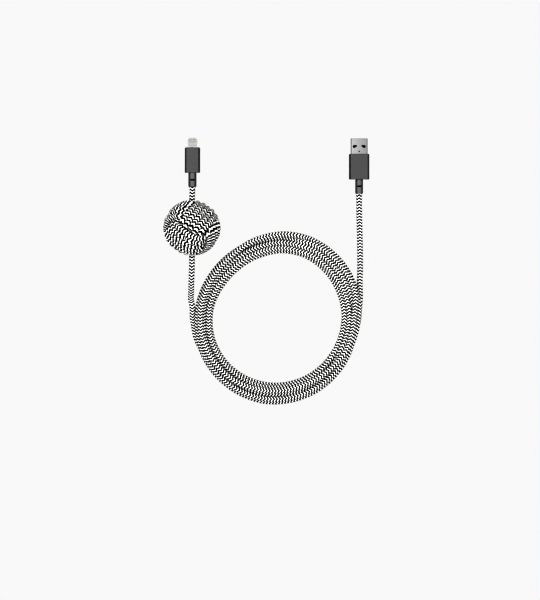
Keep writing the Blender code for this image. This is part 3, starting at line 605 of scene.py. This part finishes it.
def windowOutline(side):
    # hull of two discs: its sides leave them at a right angle, plus or minus the arcsine of
    # (difference of radii / distance), to the line between their middles
    (x1, y1, r1), (x2, y2, r2) = shell["windowOuter"], shell["windowInner"]
    line = math.atan2(y2 - y1, x1 - x2)
    opening = math.asin((r1 - r2) / math.hypot(x1 - x2, y1 - y2))
    top, bottom = math.pi / 2 + line + opening, -math.pi / 2 + line - opening
    large, small = np.linspace(top, bottom, 20), np.linspace(bottom, top - 2 * math.pi, 12)
    x = np.concatenate([x1 + r1 * np.cos(large), x2 + r2 * np.cos(small)])
    y = np.concatenate([-y1 + r1 * np.sin(large), -y2 + r2 * np.sin(small)])
    return np.stack([side * x, y], axis=1)[::-side]   # anticlockwise on both sides


def cutAway(piece, cutter):
    # the piece without what the cutter takes, as a plain mesh
    cut = piece.modifiers.new("cut", "BOOLEAN")
    cut.operation, cut.solver, cut.object = "DIFFERENCE", "EXACT", cutter
    bpy.context.view_layer.update()
    whole = bpy.data.meshes.new_from_object(piece.evaluated_get(bpy.context.evaluated_depsgraph_get()))
    piece.modifiers.remove(cut)
    piece.data = whole
    bpy.data.objects.remove(cutter)


def makeShell(finish):
    # a folded box of sheet: rows go forward outside, round the nose and back inside, and then the
    # windows and the dimple are cut
    low, high = (np.array(corner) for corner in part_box("type_a_shell"))
    width, length, height = high - low - (shell["play"], 0.0, 0.0)
    sheet, rounding = shell["sheet"], shell["round"]
    outside = [(0.0, 0.0), (0.1 * mm, 0.0)]
    outside += [(length - y * mm, inset * mm) for y, inset in shell["nose"][::-1]]
    rows = outside + [(y, sheet) for y in (length, length - 0.1 * mm, 0.1 * mm, 0.0)]
    points = []
    for y, inset in rows:
        corner = max(rounding - inset, 0.2 * mm)
        ring = sectionRing(width - 2 * inset, height - 2 * inset, (corner, corner))
        points.append(np.column_stack([ring[:, 0], np.full(len(ring), y), ring[:, 1]]))
    middle = (low + high) / 2
    points = np.stack(points) + (middle[0], low[1], middle[2])
    piece = gridMesh("charger_plug_shell", points, finish, closed=True, capped=False)
    for side in (-1, 1):
        outline = windowOutline(side) + (middle[0], high[1])
        levels = (low[2] - 1 * mm, high[2] + 1 * mm)
        column = np.stack([np.column_stack([outline, np.full(len(outline), z)]) for z in levels])
        cutAway(piece, gridMesh("window", column, finish))
    back, radius, above = shell["dimple"]
    turn = np.linspace(0.0, 2 * np.pi, 20, endpoint=False)
    fall = np.linspace(np.pi - 0.05, 0.05, 12)[:, None]
    ball = np.stack([np.sin(fall) * np.cos(turn), np.sin(fall) * np.sin(turn),
                     np.broadcast_to(np.cos(fall), (12, 20))], axis=-1)
    cutAway(piece, gridMesh("pit", ball * radius + (middle[0], high[1] - back, high[2] + above), finish))
    piece.data.shade_smooth()
    piece.data.set_sharp_from_angle(angle=math.radians(30))
    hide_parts("type_a_shell")
    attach(piece, "cable")


def plastic(name, colour, roughness, grain=0.02, shine=0.4, ior=1.5):
    f = Finish(name)
    fine = f.noise(f.place(), 900.0, 3.0, 0.55)
    tone = f.mix(fine.ramp(0.35, 0.65), tuple(c * 0.94 for c in colour), tuple(c * 1.06 for c in colour))
    return f.done(Base_Color=tone, Roughness=roughness, Specular_IOR_Level=shine, IOR=ior,
                  Normal=f.bump(fine, grain * mm, 0.5))


def tabFinish():
    # plating, painted lighter towards the housing: painted light that offsets the shade the housing casts
    # on the tab
    f = Finish("tab plating")
    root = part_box("tab_plug_housing")[1][1]
    fine = f.noise(f.place(), 900.0, 3.0, 0.55)
    # painted light: the tab is brighter within 1.6 mm of the housing
    tone = f.mix(f.axis(1).ramp(root, root + 1.6 * mm), (0.62, 0.62, 0.62), (0.39, 0.39, 0.39))
    return f.done(Base_Color=tone, Roughness=0.35, Specular_IOR_Level=0.4,
                  Normal=f.bump(fine, 0.01 * mm, 0.4))


def reliefFinish():
    # rubber, with painted shade that makes it black down in the slots, where hardly any light comes
    f = Finish("relief rubber")
    around, along = f.uv()
    width, long, deep = plugs["slot"]
    reach = math.asin(width / plugs["chargerRelief"][0]) / math.pi
    beside = ((around * 2.0).fract() - 0.5).math("ABSOLUTE").ramp(reach - 0.03, reach + 0.02)
    beyond = along.math("ABSOLUTE").ramp(0.5 * long / mm - 0.05, 0.5 * long / mm + 0.05)
    fine = f.noise(f.place(), 900.0, 3.0, 0.55)
    tone = f.mix(fine, (0.07, 0.07, 0.071), (0.084, 0.084, 0.085))
    rubber = f.surface(Base_Color=tone, Roughness=0.4, Specular_IOR_Level=0.8, IOR=1.8,
                       Normal=f.bump(fine, 0.01 * mm, 0.4))
    # painted shade: a flat black surface down in the slots
    depth = f.surface(Base_Color=(0.008, 0.008, 0.008), Roughness=1.0, Specular_IOR_Level=0.0)
    return f.finish(f.add("ShaderNodeMixShader", None, {0: beside.biggest(beyond), 1: depth, 2: rubber}))


def metal(name, colour, roughness):
    f = Finish(name)
    fine = f.noise(f.place(), 700.0, 4.0, 0.6)
    tone = f.mix(fine, tuple(c * 0.92 for c in colour), colour)
    return f.done(Base_Color=tone, Roughness=fine.ramp(0.2, 0.8, roughness - 0.06, roughness + 0.06),
                  Metallic=1.0, Normal=f.bump(fine, 0.004 * mm, 0.4))


def shellFinish():
    # rolled steel with a fine grain along the plug, and painted shading that makes it a little darker
    # towards +X
    f = Finish("shell steel")
    low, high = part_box("type_a_shell")
    grainPlace = f.add("ShaderNodeMapping", None, {"Vector": f.place(), "Scale": (2200.0, 90.0, 2200.0)})
    grain = f.noise(grainPlace, 1.0, 3.0, 0.6)
    # painted shading: the steel darkens from -X to +X
    tone = f.mix(f.axis(0).ramp(low[0], high[0]), (0.355, 0.355, 0.355), (0.28, 0.28, 0.28))
    tone = f.mix(grain * 0.4, tone, (0.25, 0.25, 0.25))
    return f.done(Base_Color=tone, Roughness=grain.ramp(0.2, 0.8, 0.26, 0.36), Metallic=1.0,
                  Normal=f.bump(grain, 0.004 * mm, 0.5))


def innerContactFinish():
    # gold at the plug's mouth, and painted black further in, behind the shell's windows: painted shade
    # inside the shell
    f = Finish("charger contact")
    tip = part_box("type_a_contact_1")[1][1]
    goldOutOfShade = f.axis(1).ramp(tip - 2.6 * mm, tip - 1.8 * mm)
    # painted shade: near black wherever the contact lies more than 1.8 mm behind its tip
    tone = f.mix(goldOutOfShade, (0.012, 0.011, 0.01), (0.62, 0.46, 0.2))
    return f.done(Base_Color=tone, Metallic=goldOutOfShade, Roughness=0.35, Specular_IOR_Level=0.2)


view = {
    "centre": (2.02 * mm, -74.03 * mm, 5.0 * mm),
    "height": 427.8 * mm,
    "lens": 150.0,
    "sensor": 36.0,
    "look": "Very High Contrast",
    "gamma": 0.65,
}


light = {
    "floor": 0.570,
    "floorHalf": 3.0,
    "floorLevel": -0.02 * mm,
    "horizon": 0.12,
    "zenith": 1.22,
    "rise": (0.05, 0.75),      # heights, as a share of straight up, where it starts and ends to rise
    # name, place, size and watts
    "softboxes": [("left softbox", (-0.5, 0.1, 0.9), 1.0, 1.3),
                  ("right softbox", (0.6, -0.2, 0.9), 1.0, 0.8)],
}


def makeFloor():
    # it glows evenly, and neither shades nor shows in what is glossy
    f = Finish("white surface")
    glow = f.add("ShaderNodeEmission", None, {"Color": (1.0, 1.0, 1.0), "Strength": light["floor"]})
    f.add("ShaderNodeOutputMaterial", None, {"Surface": glow})
    half, low = light["floorHalf"], light["floorLevel"]
    mesh = bpy.data.meshes.new("surface")
    mesh.from_pydata([(-half, -half, low), (half, -half, low), (half, half, low), (-half, half, low)],
                     [], [(0, 1, 2, 3)])
    mesh.materials.append(f.material)
    floor = bpy.data.objects.new("surface", mesh)
    floor.visible_glossy = False
    bpy.context.scene.collection.objects.link(floor)


def makeLights():
    # the room is bright overhead and dark at the horizon: brightness is a smooth step of the height
    world = bpy.data.worlds.new("white room")
    world.use_nodes = True
    tree = world.node_tree
    where = tree.nodes.new("ShaderNodeTexCoord")
    split = tree.nodes.new("ShaderNodeSeparateXYZ")
    rise = tree.nodes.new("ShaderNodeMapRange")
    rise.interpolation_type = "SMOOTHSTEP"
    rise.inputs["From Min"].default_value, rise.inputs["From Max"].default_value = light["rise"]
    rise.inputs["To Min"].default_value = light["horizon"]
    rise.inputs["To Max"].default_value = light["zenith"]
    tree.links.new(where.outputs["Generated"], split.inputs[0])
    tree.links.new(split.outputs["Z"], rise.inputs["Value"])
    tree.links.new(rise.outputs["Result"], tree.nodes["Background"].inputs["Strength"])
    tree.nodes["Background"].inputs["Color"].default_value = (1.0, 1.0, 1.0, 1.0)
    bpy.context.scene.world = world
    for name, place, size, power in light["softboxes"]:
        data = bpy.data.lights.new(name, "AREA")
        data.size, data.energy = size, power
        lamp = bpy.data.objects.new(name, data)
        lamp.location = place
        aim = np.array(view["centre"]) - place
        lamp.rotation_euler = (math.atan2(math.hypot(aim[0], aim[1]), -aim[2]), 0.0,
                               math.atan2(aim[1], aim[0]) - math.pi / 2)
        bpy.context.scene.collection.objects.link(lamp)


def makeCamera():
    data = bpy.data.cameras.new("camera")
    data.lens, data.sensor_width = view["lens"], view["sensor"]
    data.clip_end = 20.0
    camera = bpy.data.objects.new("camera", data)
    x, y, z = view["centre"]
    camera.location = (x, y, z + view["height"] * view["lens"] / view["sensor"])
    bpy.context.scene.collection.objects.link(camera)
    bpy.context.scene.camera = camera
    bpy.context.scene.view_settings.view_transform = "Standard"
    bpy.context.scene.view_settings.look = view["look"]
    bpy.context.scene.view_settings.gamma = view["gamma"]


braidMaterial = braidFinish("woven braid", braid["reach"])
makeCord(braidMaterial)
makeKnot(braidFinish("knotted braid", knot["reach"]))
print("cords made")

finishes = {
    "braid": braidMaterial,
    "housing": plastic("housing plastic", (0.056, 0.056, 0.057), 0.4, shine=0.76, ior=1.7),
    "relief": reliefFinish(),
    "jacket": plastic("jacket", (0.03, 0.03, 0.03), 0.6),
    "shell": shellFinish(),
    "tab": tabFinish(),
    "weight": metal("weight", (0.3, 0.3, 0.31), 0.4),
    "contact": metal("gold contact", (0.375, 0.365, 0.325), 0.35),
    "crimp": metal("crimp", (0.6, 0.6, 0.58), 0.4),
    "insulator": plastic("insulator", (0.40, 0.40, 0.39), 0.45),
    "charger_contact": innerContactFinish(),
    "charger_insulator": plastic("charger insulator", (0.012, 0.012, 0.012), 0.6, shine=0.2),
    "board": plastic("board", (0.02, 0.09, 0.05), 0.4),
    "wire_black": plastic("black wire", (0.012, 0.012, 0.012), 0.45),
    "wire_red": plastic("red wire", (0.45, 0.02, 0.02), 0.45),
    "wire_white": plastic("white wire", (0.8, 0.8, 0.78), 0.45),
    "wire_green": plastic("green wire", (0.02, 0.25, 0.05), 0.45),
}
for nodeName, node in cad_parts.items():
    kept = node.data.materials[0].name.split(".")[0]
    if nodeName.startswith("type_a") and "charger_" + kept in finishes:
        kept = "charger_" + kept
    node.data.materials.clear()
    node.data.materials.append(finishes[kept])
print("materials given")

tabBack = makeHousing("tab_plug_skin", "tab_plug_housing", plugs["tabHousing"], plugs["tabMouth"],
                      plugs["droop"], plugs["tabLean"], finishes["housing"])
makeRelief("tab_plug_sleeve", "tab_plug_strain_relief", plugs["tabRelief"], plugs["tabSlot"], tabBack,
           plugs["droop"], finishes["relief"])
chargerBack = makeHousing("charger_plug_skin", "type_a_housing", plugs["chargerHousing"],
                          plugs["chargerMouth"], 0.0, plugs["chargerLean"], finishes["housing"])
makeRelief("charger_plug_sleeve", "type_a_strain_relief", plugs["chargerRelief"], plugs["chargerSlot"],
           chargerBack, 0.0, finishes["relief"])
makeShell(finishes["shell"])
print("plugs made")

makeFloor()
makeLights()
makeCamera()
